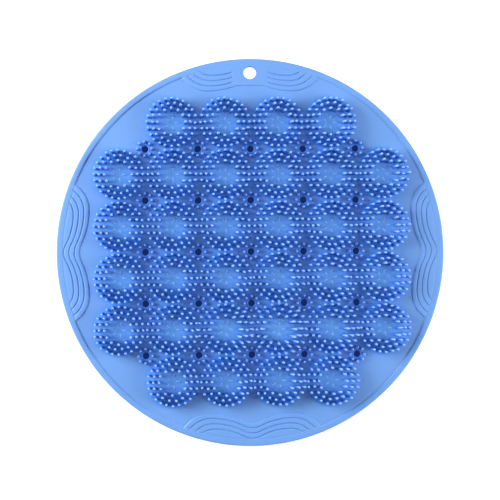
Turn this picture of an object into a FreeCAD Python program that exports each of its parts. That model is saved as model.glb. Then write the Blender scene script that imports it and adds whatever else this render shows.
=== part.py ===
import FreeCAD, Part
import os
from math import asin, cos, floor, pi, radians, sin, sqrt

Vector = FreeCAD.Vector

# Sizes in millimetres and degrees. The pad lies on its suction cups with the
# bristles up: z = 0 is the plane of the cup lips, and +Y points to the hanging hole.

# The plate and its raised border
pad_radius = 150.0
plate_thickness = 2.4
border_width = 4.8
border_height = 0.8
border_slope = 0.6
edge_chamfer = 0.6

# The domes stand in rows, with a drain hole between each four of them
column_pitch = 40.8
row_pitch = 39.9
domes_in_row = (4, 6, 6, 6, 6, 4)
hole_columns = 5
hole_rows = 5
drain_diameter = 5.2
drain_sides = 8

# A dome is a very low cap of a sphere, and the feet of neighbours stand dome_gap apart
dome_gap = 0.9
dome_height = 2.0

# Rings of upright bristles stand round the bare middle of a dome, with more of them
# in each ring further out. Their tips splay out a little from over their feet.
middle_radius = 7.4
bristle_rings = 3
first_ring_bristles = 12
added_bristles = 6
bristle_length = 10.0
bristle_splay = 0.45

# The suction cups under the domes
cup_height = 7.0
cup_root_radius = 12.5
cup_lip_radius = 17.0
cup_lip_width = 1.0
cup_roof = 0.8
cup_sides = 10

# The hanging hole lies this far in from the pad's edge, in a plain panel of the
# border that is wider than the hole by a margin at each side and below
hanging_hole_diameter = 10.0
hanging_hole_inset = 11.0
panel_side_margin = 8.3
panel_lower_margin = 5.1

# The border has four wide places. The inner edge of each is a wave that swings in
# from the border by bulge_depth at two bulges and by waist_depth between them. A
# bulge is widest at bulge_inset from the wide place's end, and the tight bend of
# the waist takes up waist_share of the way to it.
wide_place_half_length = 53.0
bulge_inset = 20.0
bulge_depth = 20.7
waist_depth = 13.2
waist_share = 0.2
wave_pieces = 18

# Grooves follow that wave, each one further out and shorter than the last, and
# one more parts the wide place from the border
groove_count = 3
groove_pitch = 4.1
groove_shortening = 4.6
groove_narrowing = 1.2
groove_width = 0.9
groove_depth = 0.5

# The foot of every dome, cup and raised place reaches to the middle of the plate
root = plate_thickness / 2

plate_bottom = cup_height
plate_top = plate_bottom + plate_thickness
border_top = plate_top + border_height
border_inner_radius = pad_radius - border_width
border_middle_radius = pad_radius - border_width / 2
dome_foot_radius = (min(column_pitch, row_pitch) - dome_gap) / 2
dome_sphere_radius = (dome_foot_radius ** 2 + dome_height ** 2) / (2 * dome_height)
hanging_hole_offset = pad_radius - hanging_hole_inset


def grid_row(count, row, rows):
    """Places of one row in a grid that is centred on the pad."""
    y = ((rows - 1) / 2 - row) * row_pitch
    return [((column - (count - 1) / 2) * column_pitch, y) for column in range(count)]


def dome_places():
    rows = len(domes_in_row)
    return [place for row, count in enumerate(domes_in_row) for place in grid_row(count, row, rows)]


def drain_places():
    return [place for row in range(hole_rows) for place in grid_row(hole_columns, row, hole_rows)]


def at_each(shape, places):
    copies = []
    for x, y in places:
        copy = shape.copy()
        copy.translate(Vector(x, y, 0))
        copies.append(copy)
    return copies


def flat_face(points):
    return Part.Face(Part.makePolygon(points + points[:1]))


def on_dome(out, turn):
    """A point on a dome, out from its axis and turn degrees clockwise from +Y."""
    fall = dome_sphere_radius - sqrt(dome_sphere_radius ** 2 - out ** 2)
    return Vector(out * sin(radians(turn)), out * cos(radians(turn)), plate_top + dome_height - fall)


def level_ring(radius, z, sides):
    """The corners of a level polygon with its corners on a circle."""
    step = 2 * pi / sides
    return [Vector(radius * cos(i * step), radius * sin(i * step), z) for i in range(sides)]


def band(upper, lower):
    """Flat faces between two rings with the same number of corners."""
    faces = []
    for i in range(len(upper)):
        j = (i + 1) % len(upper)
        faces.append(flat_face([upper[i], lower[i], lower[j], upper[j]]))
    return faces


def dome_rings():
    """The rings of bristles from the inside out: bristles, turn in steps, outer radius."""
    rings = []
    for ring in range(bristle_rings):
        count = first_ring_bristles + ring * added_bristles
        radius = middle_radius + (dome_foot_radius - middle_radius) * (ring + 1) / bristle_rings
        rings.append((count, ring % 2 / 2, radius))
    return rings


def bristled_dome():
    """A dome with its bristles, its foot sunk into the plate.

    The flat middle has a corner for each bristle of the first ring. Round it, rings of
    corners divide the dome into triangles. Those with a side on the outer ring are the
    feet of bristles, each a slender three-sided point, and the others stay bare.
    """
    inner_step = 360.0 / first_ring_bristles
    inner_start = 0.0
    inner_radius = middle_radius
    inner = [on_dome(middle_radius, i * inner_step) for i in range(first_ring_bristles)]
    faces = [flat_face(inner)]
    for count, turn, radius in dome_rings():
        step = 360.0 / count
        start = (turn - 0.5) * step
        outer = [on_dome(radius, start + i * step) for i in range(count)]
        # the inner corner nearest to each bristle, once round and back to the first
        nearest = [floor(((turn + i) * step - inner_start) / inner_step + 0.5) for i in range(count)]
        nearest.append(nearest[0] + len(inner))
        tip_radius = (2 * radius + inner_radius) / 3 + bristle_splay
        for i in range(count):
            left = outer[i]
            right = outer[(i + 1) % count]
            top = inner[nearest[i] % len(inner)]
            tip = on_dome(tip_radius, (turn + i) * step) + Vector(0, 0, bristle_length)
            for start_corner, end_corner in ((left, right), (right, top), (top, left)):
                faces.append(flat_face([start_corner, end_corner, tip]))
            if nearest[i + 1] > nearest[i]:
                faces.append(flat_face([top, right, inner[nearest[i + 1] % len(inner)]]))
        inner = outer
        inner_step = step
        inner_start = start
        inner_radius = radius
    foot = [Vector(p.x, p.y, p.z - root) for p in inner]
    faces += band(inner, foot)
    faces.append(flat_face(foot))
    return Part.Solid(Part.Shell(faces))


def suction_cup():
    """A flared cup with a flat lip and a pointed hollow, its root sunk into the plate."""
    top = level_ring(cup_root_radius, plate_bottom + root, cup_sides)
    neck = level_ring(cup_root_radius, plate_bottom, cup_sides)
    lip = level_ring(cup_lip_radius, 0, cup_sides)
    mouth = level_ring(cup_lip_radius - cup_lip_width, 0, cup_sides)
    peak = Vector(0, 0, plate_bottom - cup_roof)
    faces = [flat_face(top)] + band(top, neck) + band(neck, lip)
    faces.append(flat_face(lip).cut(flat_face(mouth)).Faces[0])
    faces += [flat_face([mouth[i], mouth[(i + 1) % cup_sides], peak]) for i in range(cup_sides)]
    return Part.Solid(Part.Shell(faces))


def plate_with_border():
    """The plate and its raised border, turned from one outline."""
    outline = [
        (0, plate_bottom),
        (pad_radius, plate_bottom),
        (pad_radius, border_top - edge_chamfer),
        (pad_radius - edge_chamfer, border_top),
        (border_inner_radius + border_slope, border_top),
        (border_inner_radius, plate_top),
        (0, plate_top),
    ]
    profile = flat_face([Vector(radius, 0, z) for radius, z in outline])
    return profile.revolve(Vector(0, 0, 0), Vector(0, 0, 1), 360)


def arc_from_peak(peak, end):
    """A round arc that leaves a peak of the wave level and passes through end."""
    across = end.x - peak.x
    rise = end.y - peak.y
    radius = (across ** 2 + rise ** 2) / (2 * abs(rise))
    half_angle = asin(abs(across) / radius) / 2
    side = 1 if across > 0 else -1
    up = 1 if rise > 0 else -1
    middle = Vector(
        peak.x + side * radius * sin(half_angle), peak.y + up * radius * (1 - cos(half_angle)), 0)
    return Part.Arc(peak, middle, end).toShape()


def wave(line, shift):
    """Corners along the wavy inner edge of a wide place (line 0) or along a groove beside it."""
    end_offset = wide_place_half_length - line * groove_shortening
    bulge_offset = wide_place_half_length - bulge_inset - line * groove_narrowing
    out = border_inner_radius + line * groove_pitch + shift
    waist = Vector(0, out - waist_depth, 0)
    edges = []
    for side in (-1, 1):
        bulge = Vector(side * bulge_offset, out - bulge_depth, 0)
        turning = waist + (bulge - waist) * waist_share
        end = Vector(side * end_offset, sqrt(border_inner_radius ** 2 - end_offset ** 2) + shift, 0)
        edges += [arc_from_peak(bulge, end), arc_from_peak(bulge, turning), arc_from_peak(waist, turning)]
    corners = Part.Wire(Part.__sortEdges__(edges)).discretize(Number=wave_pieces + 1)
    return sorted(corners, key=lambda corner: corner.x)


def raised(corners, bottom, height, outer_radius):
    """A solid on the outline with these corners, as far out as outer_radius."""
    outline = [Vector(corner.x, corner.y, bottom) for corner in corners]
    solid = flat_face(outline).extrude(Vector(0, 0, height))
    return solid.common(Part.makeCylinder(outer_radius, border_top + root))


def wide_place():
    """The wide place at +Y, from its wavy edge to the middle of the border."""
    edge = wave(0, 0)
    outer = [Vector(edge[-1].x, pad_radius, 0), Vector(edge[0].x, pad_radius, 0)]
    return raised(edge + outer, plate_top - root, root + border_height, border_middle_radius)


def groove(line):
    """One groove of the wide place at +Y, ending where it meets the border."""
    near = wave(line, -groove_width / 2)
    far = wave(line, groove_width / 2)
    return raised(near + far[::-1], border_top - groove_depth, groove_depth + root, border_inner_radius)


def border_groove():
    """The ring groove that parts the wide places from the border."""
    ring = Part.makeCylinder(border_inner_radius, groove_depth + root)
    ring = ring.cut(Part.makeCylinder(border_inner_radius - groove_width, groove_depth + root))
    ring.translate(Vector(0, 0, border_top - groove_depth))
    return ring


def plain_panel():
    """The plain panel round the hanging hole, as far as the middle of the border."""
    width = hanging_hole_diameter + 2 * panel_side_margin
    lower_edge = hanging_hole_offset - hanging_hole_diameter / 2 - panel_lower_margin
    corner = Vector(-width / 2, lower_edge, plate_top - root)
    return Part.makeBox(width, border_middle_radius - lower_edge, root + border_height, corner)


def quarter_turns(shape):
    copies = []
    for quarter in range(4):
        copy = shape.copy()
        copy.rotate(Vector(0, 0, 0), Vector(0, 0, 1), 90 * quarter)
        copies.append(copy)
    return copies


def drain_hole():
    """A cutter for one drain hole."""
    return flat_face(level_ring(drain_diameter / 2, 0, drain_sides)).extrude(Vector(0, 0, border_top))


def hanging_hole():
    """A cutter for the hanging hole."""
    return Part.makeCylinder(hanging_hole_diameter / 2, border_top + root, Vector(0, hanging_hole_offset, 0))


def scrubber_pad():
    plate = plate_with_border().multiFuse(quarter_turns(wide_place()) + [plain_panel()]).removeSplitter()
    grooves = [copy for line in range(1, groove_count + 1) for copy in quarter_turns(groove(line))]
    grooves = border_groove().multiFuse(grooves).cut(plain_panel())
    plate = plate.cut(grooves)
    holes = at_each(drain_hole(), drain_places()) + [hanging_hole()]
    plate = plate.cut(Part.makeCompound(holes))
    features = at_each(bristled_dome(), dome_places()) + at_each(suction_cup(), dome_places())
    return plate.multiFuse(features)


os.makedirs("parts", exist_ok=True)
pad = scrubber_pad()
print("scrubber_pad:", len(pad.Solids), "solid,", len(pad.Faces), "faces, valid", pad.isValid())
print("size", pad.BoundBox.XLength, pad.BoundBox.YLength, pad.BoundBox.ZLength)
print("volume in cubic centimetres", pad.Volume / 1000)
pad.exportStep("parts/scrubber_pad.step")
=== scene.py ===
import random
from math import ceil, cos, exp, hypot, pi, radians, sin, sqrt

import bmesh
import bpy
import numpy as np
from mathutils import Matrix, Vector
from mathutils.geometry import delaunay_2d_cdt


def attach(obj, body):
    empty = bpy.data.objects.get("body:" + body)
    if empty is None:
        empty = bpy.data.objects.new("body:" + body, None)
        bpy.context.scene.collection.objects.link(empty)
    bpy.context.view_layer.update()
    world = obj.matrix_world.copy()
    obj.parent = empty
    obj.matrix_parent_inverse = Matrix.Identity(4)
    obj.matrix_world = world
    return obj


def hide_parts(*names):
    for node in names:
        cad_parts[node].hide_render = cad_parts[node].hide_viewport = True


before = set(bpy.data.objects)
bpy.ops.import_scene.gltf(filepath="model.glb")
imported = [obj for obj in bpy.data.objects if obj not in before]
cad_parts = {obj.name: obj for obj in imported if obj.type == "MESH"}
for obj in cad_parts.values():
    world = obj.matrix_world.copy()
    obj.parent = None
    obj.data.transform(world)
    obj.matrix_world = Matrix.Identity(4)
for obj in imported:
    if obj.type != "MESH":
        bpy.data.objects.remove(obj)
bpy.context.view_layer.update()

# the pad's sizes and the camera's place are in millimetres; floor, lamps and finishes are in metres
millimetre = 0.001


# pieces

# a weld in metres, and the angle in degrees from which an edge is sharp
finish = {
    "weldDistance": 1e-6,
    "sharpAngle": 60.0,
}


def makePiece(name, points, faces, material):
    mesh = bpy.data.meshes.new(name)
    placed = [tuple(p * millimetre for p in point) for point in points]
    mesh.from_pydata(placed, [], [tuple(face) for face in faces])
    work = bmesh.new()
    work.from_mesh(mesh)
    bmesh.ops.remove_doubles(work, verts=work.verts, dist=finish["weldDistance"])
    bmesh.ops.recalc_face_normals(work, faces=work.faces)
    work.to_mesh(mesh)
    work.free()
    mesh.polygons.foreach_set("use_smooth", [True] * len(mesh.polygons))
    mesh.set_sharp_from_angle(angle=radians(finish["sharpAngle"]))
    mesh.materials.append(material)
    piece = bpy.data.objects.new(name, mesh)
    bpy.context.collection.objects.link(piece)
    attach(piece, "root")
    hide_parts("scrubber_pad")
    triangles = sum(len(polygon.vertices) - 2 for polygon in mesh.polygons)
    print("made", name, "with", triangles, "triangles")
    return piece


def circle(x, y, radius, count, turn=0.0):
    return [(x + radius * cos(turn + 2 * pi * i / count), y + radius * sin(turn + 2 * pi * i / count))
            for i in range(count)]


def lathe(x, y, profile, sides, firstIndex):
    # profile: (radius, height) from one end to the other; a radius of 0 closes it
    points, faces, rings = [], [], []
    for radius, height in profile:
        if radius == 0:
            rings.append([firstIndex + len(points)])
            points.append((x, y, height))
        else:
            rings.append(list(range(firstIndex + len(points), firstIndex + len(points) + sides)))
            points += [(px, py, height) for px, py in circle(x, y, radius, sides)]
    for lower, upper in zip(rings, rings[1:]):
        for i in range(sides):
            j = (i + 1) % sides
            if len(lower) == 1:
                faces.append((lower[0], upper[i], upper[j]))
            elif len(upper) == 1:
                faces.append((lower[i], lower[j], upper[0]))
            else:
                faces.append((lower[i], lower[j], upper[j], upper[i]))
    return points, faces


# silicone

class Socket:
    def __init__(self, shade, output):
        self.shade = shade
        self.output = output

    def math(self, operation, first, second):
        return self.shade.node("ShaderNodeMath", {"operation": operation}, {0: first, 1: second})

    def __add__(self, other):
        return self.math("ADD", self, other)

    def __radd__(self, other):
        return self.math("ADD", other, self)

    def __sub__(self, other):
        return self.math("SUBTRACT", self, other)

    def __rsub__(self, other):
        return self.math("SUBTRACT", other, self)

    def __mul__(self, other):
        return self.math("MULTIPLY", self, other)

    def __rmul__(self, other):
        return self.math("MULTIPLY", other, self)


class Shade:
    def __init__(self, owner):
        # owner: a new material, or the world
        owner.use_nodes = True
        self.owner = owner
        self.tree = owner.node_tree
        self.tree.nodes.clear()

    def node(self, kind, settings, sockets, output=0):
        node = self.tree.nodes.new(kind)
        for key, value in settings.items():
            setattr(node, key, value)
        for key, value in sockets.items():
            if isinstance(value, Socket):
                self.tree.links.new(value.output, node.inputs[key])
            else:
                node.inputs[key].default_value = value
        return Socket(self, node.outputs[output]) if node.outputs else None

    def mixColour(self, factor, first, second):
        # 6, 7 and output 2 are the node's colour sockets, which share their names with others
        return self.node("ShaderNodeMix", {"data_type": "RGBA"}, {0: factor, 6: first, 7: second}, 2)

    def softRange(self, value, low, high):
        # 0 below low, 1 above high and a soft rise between them
        return self.node("ShaderNodeMapRange", {"interpolation_type": "SMOOTHSTEP"}, {
            "Value": value, "From Min": low, "From Max": high})

    def seenDirectly(self):
        # 1 for what the camera sees, also in a mirror or through glass
        rays = [self.node("ShaderNodeLightPath", {}, {}, output)
                for output in ("Is Camera Ray", "Is Glossy Ray", "Is Transmission Ray")]
        return rays[0] + rays[1] + rays[2]

    def surface(self, shader, output="ShaderNodeOutputMaterial"):
        self.node(output, {}, {"Surface": shader})
        return self.owner


silicone = {
    "roughness": 0.42,
    "roughnessSwing": 0.12,
    "patchScale": 28.0,
    "patchDetail": 3.0,
    "patchShare": 0.15,
    "grainScale": 1400.0,
    "grainDetail": 2.0,
    "grainDepth": 0.00004,
    "grainStrength": 0.35,
    "specular": 0.28,
}
# each piece's colour at its foot and at its top, and the heights of both;
# on the bristles, pins and ridges the darker foot and lighter top are painted shade and painted light, and
# "deep" is the pad's painted shade among the bristles
tones = {
    "pad": {
        "foot": (0.143, 0.306, 0.670, 1.0),
        "top": (0.124, 0.338, 0.790, 1.0),
        "heights": (10.3, 11.2),
        # painted shade among the bristles
        "deep": (0.048, 0.220, 0.690, 1.0),
    },
    "bristle": {
        # painted shade and light: dark towards the foot where shade falls among the bristles, light at the
        # tips where the light falls on them
        "foot": (0.030, 0.165, 0.600, 1.0),
        "top": (0.265, 0.485, 0.920, 1.0),
        "heights": (13.2, 20.7),
    },
    "ridge": {
        # painted light: the ridges' tops lighter than their foot
        "foot": (0.120, 0.325, 0.770, 1.0),
        "top": (0.260, 0.500, 0.920, 1.0),
        "heights": (11.2, 11.7),
    },
    "pin": {
        # painted shade and light: dark at the foot, light at the tip
        "foot": (0.050, 0.200, 0.640, 1.0),
        "top": (0.230, 0.430, 0.950, 1.0),
        "heights": (10.5, 13.8),
    },
}


def siliconeMaterial(name, tone):
    shade = Shade(bpy.data.materials.new(name))
    place = shade.node("ShaderNodeTexCoord", {}, {}, "Object")
    patches = shade.node("ShaderNodeTexNoise", {}, {
        "Vector": place, "Scale": silicone["patchScale"], "Detail": silicone["patchDetail"]})
    grain = shade.node("ShaderNodeTexNoise", {}, {
        "Vector": place, "Scale": silicone["grainScale"], "Detail": silicone["grainDetail"]})
    height = shade.node("ShaderNodeSeparateXYZ", {}, {"Vector": place}, "Z")
    level = shade.softRange(height, *(edge * millimetre for edge in tone["heights"]))
    foot = tone["foot"]
    if "deep" in tone:
        # painted shade: the pad's foot colour darkens towards "deep" where its corners are marked among the
        # bristles
        among = shade.node("ShaderNodeAttribute", {"attribute_name": "paintedShadeAmongBristles"}, {}, "Fac")
        foot = shade.mixColour(among, tone["foot"], tone["deep"])
    topShare = level * (1 - silicone["patchShare"]) + patches * silicone["patchShare"]
    relief = shade.node("ShaderNodeBump", {}, {
        "Height": grain, "Strength": silicone["grainStrength"], "Distance": silicone["grainDepth"]})
    shader = shade.node("ShaderNodeBsdfPrincipled", {}, {
        "Base Color": shade.mixColour(topShare, foot, tone["top"]),
        "Roughness": (patches - 0.5) * silicone["roughnessSwing"] + silicone["roughness"],
        "Normal": relief,
        "Specular IOR Level": silicone["specular"],
    })
    return shade.surface(shader)


padSilicone = siliconeMaterial("padSilicone", tones["pad"])
bristleSilicone = siliconeMaterial("bristleSilicone", tones["bristle"])
ridgeSilicone = siliconeMaterial("ridgeSilicone", tones["ridge"])
pinSilicone = siliconeMaterial("pinSilicone", tones["pin"])
print("silicone ready")


# the plate: a flat disc with drain holes, low domes, a border and four wavy wide places

plate = {
    "radius": 150.0,
    "bottom": 7.0,
    "top": 9.4,
    "edgeRound": 0.9,
    "edgePoints": 640,
    "edgeRows": (0.02, 0.1, 0.25, 0.5, 0.9, 1.5, 2.3, 3.0),
    "wallLevels": 4,
    "undersideInset": 1.0,
    # open ground is a grid of triangles, and 0.866 is a triangle's height for a side of 1
    "openSpacing": 2.6,
    "openRowHeight": 0.866,
    # corners closer than this are dropped, on open ground closer than so many times this
    "closest": 0.14,
    "openClosest": 4.5,
    "rimMargin": 0.01,
    "sameCorner": 1e-6,
    # a triangle whose middle lies in this share of a hole is left out
    "holeShare": 0.999,
}
border = {
    "width": 4.8,
    "height": 0.8,
    "slope": 0.5,
    "rows": (-1.3, -0.9, -0.65, -0.45, -0.25, -0.05, 0.2, 0.45, 0.75, 1.1),
    # the line at its foot: its inset, and its width and depth as shares of a groove's
    "lineInset": 0.4,
    "lineWidth": 0.8,
    "lineDepth": 0.4,
}
grid = {
    "columnPitch": 40.8,
    "rowPitch": 39.9,
    "domesInRow": (4, 6, 6, 6, 6, 4),
    "holeColumns": 5,
    "holeRows": 5,
}
drain = {
    "radius": 2.6,
    "lipHeight": 0.25,
    "lipWidth": 1.0,
    "mouthRound": 0.35,
    "points": 28,
    "rows": (0.15, 0.35, 0.6, 0.85, 1.1, 1.35, 1.8),
}
dome = {
    "footRadius": 19.5,
    "height": 2.0,
    "blend": 0.3,
    "ringSpacing": 1.6,
    "cornerSpacing": 1.7,
    "fewestCorners": 6,
    "closeRingsFrom": 2.0,
    "ringsPastFoot": 3.0,
}
hangingHole = {
    "radius": 5.0,
    "inset": 11.0,
    "points": 72,
    "rows": (0.5, 1.2),
}
panel = {
    "sideMargin": 8.3,
    "lowerMargin": 5.1,
    "lowerRows": (-0.4, 0.0, 0.35, 0.7, 1.2),
    "sideRows": (-0.3, 0.0, 0.3, 0.7, 1.1),
    "sidePoints": 16,
}
widePlace = {
    "halfLength": 53.0,
    "bulgeInset": 20.0,
    "bulgeDepth": 20.7,
    "waistDepth": 13.2,
    "waistShare": 0.2,
    "grooves": 3,
    "pitch": 4.1,
    "shortening": 4.6,
    "narrowing": 1.2,
    "grooveHalfWidth": 0.62,
    "grooveDepth": 0.75,
    "slopeStep": 0.1,
    # a groove fades out at its ends and where it meets the border
    "endFade": 2.0,
    "endFadeStart": 0.6,
    "footFade": 0.6,
    "edgeSlope": 1.6,
    "edgeStart": 0.3,
    "edgeGroove": 0.35,
    "rowOffsets": (-1.1, -0.68, -0.48, -0.3, -0.15, 0.0, 0.15, 0.3, 0.48, 0.68, 1.1),
    "rowStep": 1.3,
}
pin = {
    "count": 8,
    "ringRadius": 5.5,
    "height": 4.4,
    "rootRadius": 1.15,
    "tipRadius": 1.05,
    "flare": 0.35,
    "sway": 0.12,
}
# painted shade: how much the plate's colour is darkened among the bristles and round the drain pins, most on
# a dome's upper and lower flank
paintedFieldShade = {
    "fade": 3.5,
    "flankFade": 3.0,
    "flankFrom": 4.0,
    "flankReach": 8.0,
    "flankShare": 0.4,
    "otherShare": 0.6,
}
borderFoot = plate["radius"] - border["width"]
holeOffset = plate["radius"] - hangingHole["inset"]
panelHalfWidth = hangingHole["radius"] + panel["sideMargin"]
panelEdge = holeOffset - hangingHole["radius"] - panel["lowerMargin"]
domeSphere = (dome["footRadius"] ** 2 + dome["height"] ** 2) / (2 * dome["height"])


def gridRow(count, row, rows):
    y = ((rows - 1) / 2 - row) * grid["rowPitch"]
    return [((column - (count - 1) / 2) * grid["columnPitch"], y) for column in range(count)]


domePlaces = [place for row, count in enumerate(grid["domesInRow"])
              for place in gridRow(count, row, len(grid["domesInRow"]))]
drainPlaces = [place for row in range(grid["holeRows"])
               for place in gridRow(grid["holeColumns"], row, grid["holeRows"])]
holes = [(x, y, drain["radius"]) for x, y in drainPlaces] + [(0, holeOffset, hangingHole["radius"])]


def smoothStep(value):
    value = np.clip(value, 0.0, 1.0)
    return value * value * (3 - 2 * value)


def dip(distance, halfWidth):
    return np.where(np.abs(distance) < halfWidth, np.cos(distance / halfWidth * pi / 2) ** 2, 0.0)


def arcRise(across, peak, radius):
    # how far a round arc has left its level peak
    return radius - np.sqrt(np.maximum(radius ** 2 - (across - peak) ** 2, 0.0))


def waveLine(line, across):
    # the place of line 0, the wavy edge, or of a groove beside it, and half its length
    end = widePlace["halfLength"] - line * widePlace["shortening"]
    bulgeAt = widePlace["halfLength"] - widePlace["bulgeInset"] - line * widePlace["narrowing"]
    out = borderFoot + line * widePlace["pitch"]
    bulge = out - widePlace["bulgeDepth"]
    waist = out - widePlace["waistDepth"]
    both = (bulgeAt ** 2 + (waist - bulge) ** 2) / (2 * (waist - bulge))
    waistRadius = both * widePlace["waistShare"]
    bulgeRadius = both - waistRadius
    endRise = sqrt(borderFoot ** 2 - end ** 2) - bulge
    endRadius = ((end - bulgeAt) ** 2 + endRise ** 2) / (2 * endRise)
    across = np.abs(across)
    place = np.where(across < bulgeAt * widePlace["waistShare"],
                     waist - arcRise(across, 0.0, waistRadius),
                     np.where(across < bulgeAt,
                              bulge + arcRise(across, bulgeAt, bulgeRadius),
                              bulge + arcRise(across, bulgeAt, endRadius)))
    return place, end


def quarterFrames(x, y):
    # the same points seen from each wide place: across it, and out from the middle
    return [(x, y), (y, -x), (-x, -y), (-y, x)]


def domeRise(away):
    # how far a dome stands over the plate at this distance from its middle
    return np.sqrt(np.maximum(domeSphere ** 2 - away ** 2, 0.0)) - domeSphere + dome["height"]


def borderAndGrooves(x, y, radius):
    # the raised share of the border, its wide places and the panel, and the depth share of the grooves
    rim = smoothStep((radius - borderFoot) / border["slope"])
    groove = np.zeros_like(radius)
    near = widePlace["grooveHalfWidth"]
    for quarter, (across, out) in enumerate(quarterFrames(x, y)):
        inPanel = (np.abs(across) < panelHalfWidth + near) & (quarter == 0)
        here = (out > 0) & (np.abs(across) < widePlace["halfLength"] + near)
        clear = np.where(inPanel, smoothStep((np.abs(across) - panelHalfWidth) / near), 1.0)
        for line in range(widePlace["grooves"] + 1):
            place, end = waveLine(line, across)
            ahead, _ = waveLine(line, np.abs(across) + widePlace["slopeStep"])
            slope = (ahead - place) / widePlace["slopeStep"]
            distance = (out - place) / np.sqrt(1 + slope ** 2)
            fade = smoothStep((end - np.abs(across)) / widePlace["endFade"] + widePlace["endFadeStart"])
            fade = fade * smoothStep((borderFoot - radius) / widePlace["footFade"] + 1.0)
            if line == 0:
                # the wavy edge itself is a soft step with a shallow groove
                raised = smoothStep(distance / widePlace["edgeSlope"] + widePlace["edgeStart"])
                rim = np.where(here, np.maximum(rim, raised * (np.abs(across) < end)), rim)
                fade = fade * widePlace["edgeGroove"]
            groove = np.where(here, np.maximum(groove, dip(distance, near) * fade * clear), groove)
    # the line at the border's foot, which runs on through the wide places but not the panel
    panelSide = smoothStep((np.abs(x) - panelHalfWidth) / near)
    around = np.where(y > 0, panelSide, 1.0)
    footLine = dip(radius - borderFoot + border["lineInset"], near * border["lineWidth"])
    groove = np.maximum(groove, footLine * around * border["lineDepth"])
    # the plain panel round the hanging hole
    inside = smoothStep((y - panelEdge) / border["slope"])
    inside = inside * smoothStep((panelHalfWidth - np.abs(x)) / border["slope"] + 1.0)
    return np.maximum(rim, inside), groove


def topHeight(x, y):
    radius = np.hypot(x, y)
    rim, groove = borderAndGrooves(x, y, radius)
    height = plate["top"] + border["height"] * rim - widePlace["grooveDepth"] * groove
    # the domes, with a soft blend at the foot
    for cx, cy in domePlaces:
        cap = domeRise(np.hypot(x - cx, y - cy))
        blended = (cap + np.sqrt(cap ** 2 + dome["blend"] ** 2)) / 2
        height = height + blended * smoothStep(cap / dome["blend"] + 1.0)
    # a soft lip round each drain hole, and its rounded mouth
    half = drain["lipWidth"] / 2
    for cx, cy in drainPlaces:
        away = np.hypot(x - cx, y - cy)
        lip = dip(away - drain["radius"] - drain["mouthRound"] - half, half)
        mouth = 1 - smoothStep((away - drain["radius"]) / drain["mouthRound"])
        height = height + drain["lipHeight"] * lip - drain["mouthRound"] * mouth
    # the rounded outer edge
    over = np.clip((radius - plate["radius"] + plate["edgeRound"]) / plate["edgeRound"], 0.0, 1.0)
    return height - plate["edgeRound"] * (1 - np.sqrt(1 - over ** 2))


def waveRows():
    # rows of corners along the wavy edges and the grooves of all four wide places
    rows = []
    for line in range(widePlace["grooves"] + 1):
        end = waveLine(line, np.zeros(1))[1]
        count = ceil(2 * end / widePlace["rowStep"])
        across = np.linspace(-end, end, count + 1)
        place = waveLine(line, across)[0]
        slope = np.gradient(place, across)
        length = np.sqrt(1 + slope ** 2)
        for offset in widePlace["rowOffsets"]:
            px = across - offset * slope / length
            py = place + offset / length
            for qx, qy in ((px, py), (-py, px), (-px, -py), (py, -px)):
                rows.append(list(zip(qx.tolist(), qy.tolist())))
    return rows


def panelRows():
    rows = []
    for offset in panel["lowerRows"]:
        count = int(2 * panelHalfWidth / widePlace["rowStep"])
        rows.append([(panelHalfWidth * (2 * i / count - 1), panelEdge + offset) for i in range(count + 1)])
    for side in (-1, 1):
        for offset in panel["sideRows"]:
            x = side * (panelHalfWidth + offset)
            rows.append([(x, panelEdge + i) for i in range(panel["sidePoints"])])
    return rows


def domeRings():
    rows = []
    for x, y in domePlaces:
        rows.append([(x, y)])
        radius = dome["ringSpacing"]
        while radius < dome["footRadius"] + dome["ringsPastFoot"]:
            count = max(dome["fewestCorners"], round(2 * pi * radius / dome["cornerSpacing"]))
            rows.append(circle(x, y, radius, count, radius))
            coarse = radius < dome["footRadius"] - dome["closeRingsFrom"]
            radius += dome["ringSpacing"] if coarse else dome["ringSpacing"] / 2
    return rows


def outlineRows():
    # the outer edge, the drain holes and the hanging hole
    rows = [circle(0, 0, plate["radius"], plate["edgePoints"])]
    for x, y in drainPlaces:
        rows.append(circle(x, y, drain["radius"], drain["points"]))
    rows.append(circle(0, holeOffset, hangingHole["radius"], hangingHole["points"]))
    return rows


def lineRows():
    # rows of corners along every line that the surface has
    rows = []
    for inward in plate["edgeRows"]:
        rows.append(circle(0, 0, plate["radius"] - inward, plate["edgePoints"], inward))
    for out in border["rows"]:
        rows.append(circle(0, 0, borderFoot + out, plate["edgePoints"], out))
    for x, y in drainPlaces:
        for out in drain["rows"]:
            rows.append(circle(x, y, drain["radius"] + out, drain["points"], out))
    for out in hangingHole["rows"]:
        rows.append(circle(0, holeOffset, hangingHole["radius"] + out, hangingHole["points"], out))
    return rows + waveRows() + panelRows() + domeRings()


def openRows():
    # a grid of triangles over the whole plate, for the ground that has no lines
    spacing = plate["openSpacing"]
    lines = int(2 * plate["radius"] / (spacing * plate["openRowHeight"]))
    count = int(2 * plate["radius"] / spacing)
    rows = []
    for j in range(lines + 1):
        y = -plate["radius"] + j * spacing * plate["openRowHeight"]
        rows.append([((i + j % 2 / 2) * spacing - plate["radius"], y) for i in range(count)])
    return rows


def outlineEdges(outlines):
    # the outlines' corners, and the edges that the triangles have to keep
    points, edges = [], []
    for row in outlines:
        first = len(points)
        points += row
        edges += [(first + i, first + (i + 1) % len(row)) for i in range(len(row))]
    return points, edges


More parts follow.
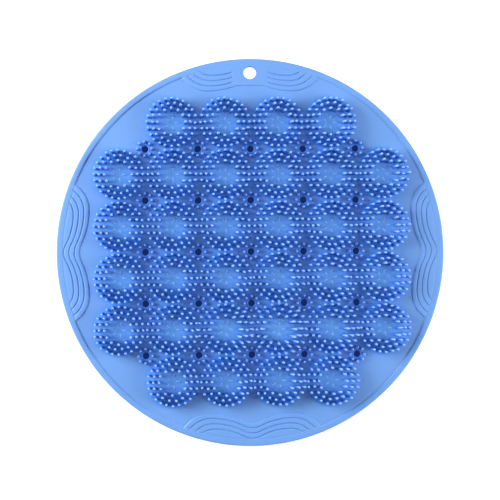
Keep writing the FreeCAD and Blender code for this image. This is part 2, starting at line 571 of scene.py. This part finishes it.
def keepApart(outlines):
    # drops a corner that comes too near to one that is kept, or lies in a hole
    cell = plate["closest"]
    points, edges = outlineEdges(outlines)
    taken = {}
    for x, y in points:
        taken.setdefault((int(x // cell), int(y // cell)), []).append((x, y))
    for rows, wanted in ((lineRows(), cell), (openRows(), plate["openClosest"] * cell)):
        reach = ceil(wanted / cell)
        for x, y in (point for row in rows for point in row):
            if hypot(x, y) > plate["radius"] - plate["rimMargin"]:
                continue
            i, j = int(x // cell), int(y // cell)
            near = [p for a in range(i - reach, i + reach + 1) for b in range(j - reach, j + reach + 1)
                    for p in taken.get((a, b), ())]
            if any(hypot(x - px, y - py) < wanted for px, py in near):
                continue
            if any(abs(x - hx) < hr and hypot(x - hx, y - hy) < hr for hx, hy, hr in holes):
                continue
            taken.setdefault((i, j), []).append((x, y))
            points.append((x, y))
    return points, edges


def triangulate(points, edges):
    flat = [Vector(point) for point in points]
    corners, _, faces, *_ = delaunay_2d_cdt(flat, edges, [], 0, plate["sameCorner"])
    kept = []
    for face in faces:
        x = sum(corners[i].x for i in face) / 3
        y = sum(corners[i].y for i in face) / 3
        if all(hypot(x - hx, y - hy) > hr * plate["holeShare"] for hx, hy, hr in holes if abs(x - hx) < hr):
            kept.append(face)
    return np.array([tuple(c) for c in corners]), kept


def plateMesh():
    outlines = outlineRows()
    corners, faces = triangulate(*keepApart(outlines))
    heights = topHeight(corners[:, 0], corners[:, 1])
    points = [(x, y, z) for (x, y), z in zip(corners, heights)]
    faces = [tuple(face) for face in faces]
    # the underside has the same outlines and little else
    under, edges = outlineEdges(outlines)
    under += circle(0, 0, plate["radius"] - plate["undersideInset"], plate["edgePoints"] // 2)
    corners, underFaces = triangulate(under, edges)
    first = len(points)
    points += [(x, y, plate["bottom"]) for x, y in corners]
    faces += [tuple(first + i for i in face) for face in underFaces]
    # walls between the outlines of both sides
    for row in outlines:
        upper = topHeight(np.array([x for x, _ in row]), np.array([y for _, y in row]))
        first = len(points)
        levels = plate["wallLevels"]
        for level in range(levels + 1):
            share = level / levels
            for (x, y), top in zip(row, upper):
                points.append((x, y, plate["bottom"] + (top - plate["bottom"]) * share))
        for level in range(levels):
            for i in range(len(row)):
                a = first + level * len(row) + i
                b = first + level * len(row) + (i + 1) % len(row)
                faces.append((a, b, b + len(row), a + len(row)))
    return points, faces


def markPaintedShade(piece):
    # notes at each corner how much painted shade its colour takes among the bristles and round the drain pins
    mesh = piece.data
    places = np.empty(len(mesh.vertices) * 3)
    mesh.vertices.foreach_get("co", places)
    x, y = places[0::3] / millimetre, places[1::3] / millimetre
    nearest = np.full_like(x, plate["radius"])
    aside = np.zeros_like(x)
    for cx, cy in domePlaces:
        away = np.hypot(x - cx, y - cy) - dome["footRadius"]
        aside = np.where(away < nearest, np.abs(y - cy), aside)
        nearest = np.minimum(nearest, away)
    paintedFlankShade = smoothStep(0.5 - nearest / paintedFieldShade["flankFade"])
    paintedFlankShade = paintedFlankShade * smoothStep((aside - paintedFieldShade["flankFrom"]) / paintedFieldShade["flankReach"])
    for cx, cy in drainPlaces:
        nearest = np.minimum(nearest, np.hypot(x - cx, y - cy) - pin["ringRadius"])
    paintedShadeShare = 1 - smoothStep(nearest / paintedFieldShade["fade"])
    mark = mesh.attributes.new("paintedShadeAmongBristles", "FLOAT", "POINT")
    mark.data.foreach_set("value", paintedShadeShare * (paintedFieldShade["otherShare"] + paintedFieldShade["flankShare"] * paintedFlankShade))


padPlate = makePiece("pad_plate", *plateMesh(), padSilicone)
markPaintedShade(padPlate)


# suction cups under the domes

cup = {
    "profile": (
        (13.6, 7.1), (13.0, 6.85), (12.7, 6.5), (12.75, 5.8), (13.2, 4.6), (14.0, 3.2), (15.0, 1.9),
        (16.1, 0.9), (16.9, 0.42), (17.0, 0.25), (16.95, 0.08), (16.8, 0.0), (16.1, 0.0), (15.6, 0.12),
        (14.2, 0.9), (12.0, 2.2), (9.0, 3.8), (6.0, 5.1), (3.0, 5.95), (1.2, 6.2), (0, 6.25)),
    "sides": 72,
}


def cupMesh():
    points, faces = [], []
    for x, y in domePlaces:
        morePoints, moreFaces = lathe(x, y, cup["profile"], cup["sides"], len(points))
        points += morePoints
        faces += moreFaces
    return points, faces


makePiece("suction_cups", *cupMesh(), padSilicone)


# bristles, ridges and pins

# a rod's stations along its length: the flared foot, the body and the rounded tip
rodShape = {
    "sides": 8,
    "flareStations": ((-0.08, 1.0), (0.02, 0.6), (0.07, 0.15), (0.14, 0.0)),
    "bodyStations": (0.34, 0.56, 0.78),
    "tipAngles": (0.0, 0.55, 1.05),
}
bristle = {
    "seed": 7,
    "rootRadius": 1.0,
    "tipRadius": 0.94,
    "flare": 0.35,
    "length": 9.973,
    "splay": 0.45,
    "middleRadius": 7.4,
    "rings": 3,
    "firstRing": 12,
    "addedBristles": 6,
    "lean": 0.30,
    "drift": (1.15, -0.43),
    "driftBend": 0.2,
    # the bristles round this place have been pressed: they are bent and stand wider apart,
    # more sideways than up and down, and drift less
    "pressMiddle": (14.0, -63.0),
    "pressReach": (44.0, 24.0),
    "pressSplay": (3.6, 1.7),
    "pressBend": 0.45,
    "pressSteady": 0.6,
    # low on the pad they stand closer together and lean up, by so much at lowReach under the middle
    "lowReach": 100.0,
    "lowSplay": -1.0,
    "lowDrift": 1.1,
}
ridge = {
    "count": 5,
    "turn": 0.25,
    "from": 3.5,
    "to": 5.8,
    "rise": 0.30,
    "radius": 0.9,
    "steps": 8,
    "sides": 8,
}


def rod(foot, middle, tip, rootRadius, tipRadius, flare, firstIndex):
    # a curved rod from its foot to its tip, drawn towards a middle point
    sides = rodShape["sides"]
    stations = [(share, rootRadius + flare * width) for share, width in rodShape["flareStations"]]
    stations += [(share, rootRadius + (tipRadius - rootRadius) * share) for share in rodShape["bodyStations"]]
    cap = tipRadius / (tip - foot).length
    stations += [(1 - cap * (1 - sin(angle)), tipRadius * cos(angle)) for angle in rodShape["tipAngles"]]
    points = []
    previous = None
    for share, radius in stations:
        centre = foot * (1 - share) ** 2 + middle * (2 * share * (1 - share)) + tip * share ** 2
        way = (middle - foot) * (1 - share) + (tip - middle) * share
        way.normalize()
        if previous is None:
            sideways = way.orthogonal().normalized()
        else:
            sideways = (previous - way * previous.dot(way)).normalized()
        previous = sideways
        other = way.cross(sideways)
        for i in range(sides):
            angle = 2 * pi * i / sides
            points.append(centre + sideways * (radius * cos(angle)) + other * (radius * sin(angle)))
    points.append(tip)
    faces = []
    for station in range(len(stations) - 1):
        for i in range(sides):
            a = firstIndex + station * sides + i
            b = firstIndex + station * sides + (i + 1) % sides
            faces.append((a, b, b + sides, a + sides))
    last = firstIndex + (len(stations) - 1) * sides
    faces += [(last + i, last + (i + 1) % sides, last + sides) for i in range(sides)]
    return points, faces


def ridgeMesh(start, end, firstIndex):
    # a low round ridge: the upper half of a lying rod with round ends
    along = (end - start).normalized()
    across = along.cross(Vector((0, 0, 1)))
    points, faces = [], []
    radius, steps, sides = ridge["radius"], ridge["steps"], ridge["sides"]
    for step in range(steps + 1):
        angle = pi * step / steps - pi / 2
        centre = start if angle < 0 else end
        for side in range(sides + 1):
            roll = pi * side / sides
            girth = radius * cos(angle)
            points.append(centre + along * (radius * sin(angle)) + across * (girth * cos(roll))
                          + Vector((0, 0, girth * sin(roll))))
    for step in range(steps):
        for side in range(sides):
            a = firstIndex + step * (sides + 1) + side
            faces.append((a, a + 1, a + sides + 2, a + sides + 1))
    return points, faces


def onDome(x, y, out, turn, above):
    # a point over a dome
    return Vector((x + out * sin(turn), y + out * cos(turn), plate["top"] + float(domeRise(out)) + above))


def pressedShare(x, y):
    # how strongly the bristles of the dome at this place have been pressed, from 0 to 1
    across = (x - bristle["pressMiddle"][0]) / bristle["pressReach"][0]
    along = (y - bristle["pressMiddle"][1]) / bristle["pressReach"][1]
    return exp(-(across ** 2 + along ** 2) / 2)


def domeRods(places, rng):
    points, faces = [], []
    radii = bristle["rootRadius"], bristle["tipRadius"], bristle["flare"]
    width = dome["footRadius"] - bristle["middleRadius"]
    for x, y in places:
        pressed = pressedShare(x, y)
        drift = [share * (1 - bristle["pressSteady"] * pressed) for share in bristle["drift"]]
        low = max(0.0, -y) / bristle["lowReach"]
        lift = Vector((0, bristle["lowDrift"] * low, 0))
        wider, higher = (share * pressed for share in bristle["pressSplay"])
        higher += bristle["lowSplay"] * low
        inner = bristle["middleRadius"]
        for ring in range(bristle["rings"]):
            count = bristle["firstRing"] + ring * bristle["addedBristles"]
            outer = bristle["middleRadius"] + width * (ring + 1) / bristle["rings"]
            out = (2 * outer + inner) / 3
            inner = outer
            for i in range(count):
                turn = 2 * pi * (i + ring % 2 / 2) / count
                sway = Vector((rng.gauss(drift[0], bristle["lean"]), rng.gauss(drift[1], bristle["lean"]), 0))
                foot = onDome(x, y, out, turn, 0.0)
                # a tip's height follows the dome under it, as far out as the tip is pressed
                pressedOut = Vector((wider * sin(turn), higher * cos(turn), 0))
                tip = onDome(x, y, out + bristle["splay"] + wider, turn, bristle["length"])
                tip += pressedOut - Vector((sin(turn), cos(turn), 0)) * wider + lift + sway
                middle = (foot + tip) / 2 - sway * bristle["driftBend"] - pressedOut * bristle["pressBend"]
                morePoints, moreFaces = rod(foot, middle, tip, *radii, len(points))
                points += morePoints
                faces += moreFaces
    return points, faces


def domeRidges():
    points, faces = [], []
    above = ridge["rise"] - ridge["radius"]
    for x, y in domePlaces:
        for i in range(ridge["count"]):
            turn = 2 * pi * (i + ridge["turn"]) / ridge["count"]
            ends = [onDome(x, y, out, turn, above) for out in (ridge["from"], ridge["to"])]
            morePoints, moreFaces = ridgeMesh(*ends, len(points))
            points += morePoints
            faces += moreFaces
    return points, faces


def pinRods(rng):
    points, faces = [], []
    radii = pin["rootRadius"], pin["tipRadius"], pin["flare"]
    for x, y in drainPlaces:
        for i in range(pin["count"]):
            turn = 2 * pi * i / pin["count"]
            px, py = x + pin["ringRadius"] * sin(turn), y + pin["ringRadius"] * cos(turn)
            foot = Vector((px, py, plate["top"]))
            tip = foot + Vector((rng.gauss(0, pin["sway"]), rng.gauss(0, pin["sway"]), pin["height"]))
            morePoints, moreFaces = rod(foot, (foot + tip) / 2, tip, *radii, len(points))
            points += morePoints
            faces += moreFaces
    return points, faces


# the domes in three pieces of two rows each
twoRows = sum(grid["domesInRow"][:2])
fourRows = sum(grid["domesInRow"][:4])
rng = random.Random(bristle["seed"])
makePiece("bristles_upper", *domeRods(domePlaces[:twoRows], rng), bristleSilicone)
makePiece("bristles_middle", *domeRods(domePlaces[twoRows:fourRows], rng), bristleSilicone)
makePiece("bristles_lower", *domeRods(domePlaces[fourRows:], rng), bristleSilicone)
makePiece("dome_ridges", *domeRidges(), ridgeSilicone)
makePiece("drain_pins", *pinRods(rng), pinSilicone)


# floor, light and camera

ground = {
    "size": 6.0,
    "colour": (0.86, 0.86, 0.86, 1.0),
    "glow": (0.50, 0.50, 0.50, 1.0),
    # the glow grows to white away from the pad, where the lamps' light falls off
    "glowReach": (0.20, 0.80),
    # deep shade under the pad, where the drain holes look, and white under the hanging hole
    "shadeReach": (0.124, 0.128),
    "shadeColour": (0.008, 0.022, 0.125, 1.0),
    "whiteReach": (0.007, 0.009),
}
sky = {
    "colour": (1.0, 1.0, 1.0, 1.0),
    "strength": 0.05,
}
lamps = {
    "rightLamp": {"place": (1.10, -0.12, 0.52), "size": 0.8, "power": 19.0},
    "leftLamp": {"place": (-1.02, 0.30, 0.54), "size": 0.8, "power": 27.5},
    "topLamp": {"place": (-0.20, 1.00, 0.62), "size": 0.8, "power": 1.5},
}
camera = {
    "distance": 597.0,
    "aside": -15.0,
    "ahead": -9.5,
    "aim": (-0.85, 1.20),
    "frameWidth": 387.2,
    "sensor": 36.0,
    "roll": 0.40,
    "clipStart": 0.01,
}


def makeFloor():
    half = ground["size"] / 2
    corners = [(-half, -half, 0), (half, -half, 0), (half, half, 0), (-half, half, 0)]
    mesh = bpy.data.meshes.new("floor")
    mesh.from_pydata(corners, [], [(0, 1, 2, 3)])
    shade = Shade(bpy.data.materials.new("paleFloor"))
    place = shade.node("ShaderNodeNewGeometry", {}, {}, "Position")
    away = shade.node("ShaderNodeVectorMath", {"operation": "LENGTH"}, {0: place}, "Value")
    clear = shade.softRange(away, *ground["shadeReach"])
    matt = shade.node("ShaderNodeBsdfDiffuse", {}, {
        "Color": shade.mixColour(clear, ground["shadeColour"], ground["colour"])})
    underHole = (0, holeOffset * millimetre, 0)
    aside = shade.node("ShaderNodeVectorMath", {"operation": "DISTANCE"}, {0: place, 1: underHole}, "Value")
    nearHole = 1 - shade.node("ShaderNodeMapRange", {}, {
        "Value": aside, "From Min": ground["whiteReach"][0], "From Max": ground["whiteReach"][1]})
    around = shade.mixColour(shade.softRange(away, *ground["glowReach"]), ground["glow"], sky["colour"])
    bright = shade.mixColour(nearHole, shade.mixColour(clear, ground["shadeColour"], around), sky["colour"])
    glow = shade.node("ShaderNodeEmission", {}, {"Color": bright, "Strength": shade.seenDirectly()})
    mesh.materials.append(shade.surface(shade.node("ShaderNodeAddShader", {}, {0: matt, 1: glow})))
    floor = bpy.data.objects.new("floor", mesh)
    bpy.context.collection.objects.link(floor)


def makeWorld():
    # white where it is seen, and a weak light on the pad
    shade = Shade(bpy.data.worlds.new("studio"))
    background = shade.node("ShaderNodeBackground", {}, {
        "Color": sky["colour"],
        "Strength": sky["strength"] + (1 - sky["strength"]) * shade.seenDirectly(),
    })
    bpy.context.scene.world = shade.surface(background, "ShaderNodeOutputWorld")


def makeLamp(name, settings):
    lamp = bpy.data.lights.new(name, "AREA")
    lamp.size = settings["size"]
    lamp.energy = settings["power"]
    holder = bpy.data.objects.new(name, lamp)
    holder.location = settings["place"]
    holder.rotation_euler = (-Vector(settings["place"])).to_track_quat("-Z", "Y").to_euler()
    bpy.context.collection.objects.link(holder)


def makeCamera():
    lens = bpy.data.cameras.new("camera")
    lens.sensor_width = camera["sensor"]
    lens.lens = camera["sensor"] * camera["distance"] / camera["frameWidth"]
    lens.clip_start = camera["clipStart"]
    holder = bpy.data.objects.new("camera", lens)
    place = Vector((camera["aside"], camera["ahead"], plate["top"] + camera["distance"])) * millimetre
    aim = Vector((*camera["aim"], plate["top"])) * millimetre
    # the picture's right edge stays along +X, turned by the small roll
    back = (place - aim).normalized()
    level = Vector((cos(radians(camera["roll"])), -sin(radians(camera["roll"])), 0))
    right = (level - back * level.dot(back)).normalized()
    turn = Matrix((right, back.cross(right), back)).transposed()
    holder.rotation_euler = turn.to_euler()
    holder.location = place
    bpy.context.collection.objects.link(holder)
    bpy.context.scene.camera = holder


makeFloor()
makeWorld()
for name, settings in lamps.items():
    makeLamp(name, settings)
makeCamera()
bpy.context.scene.view_settings.view_transform = "Standard"
print("studio ready")
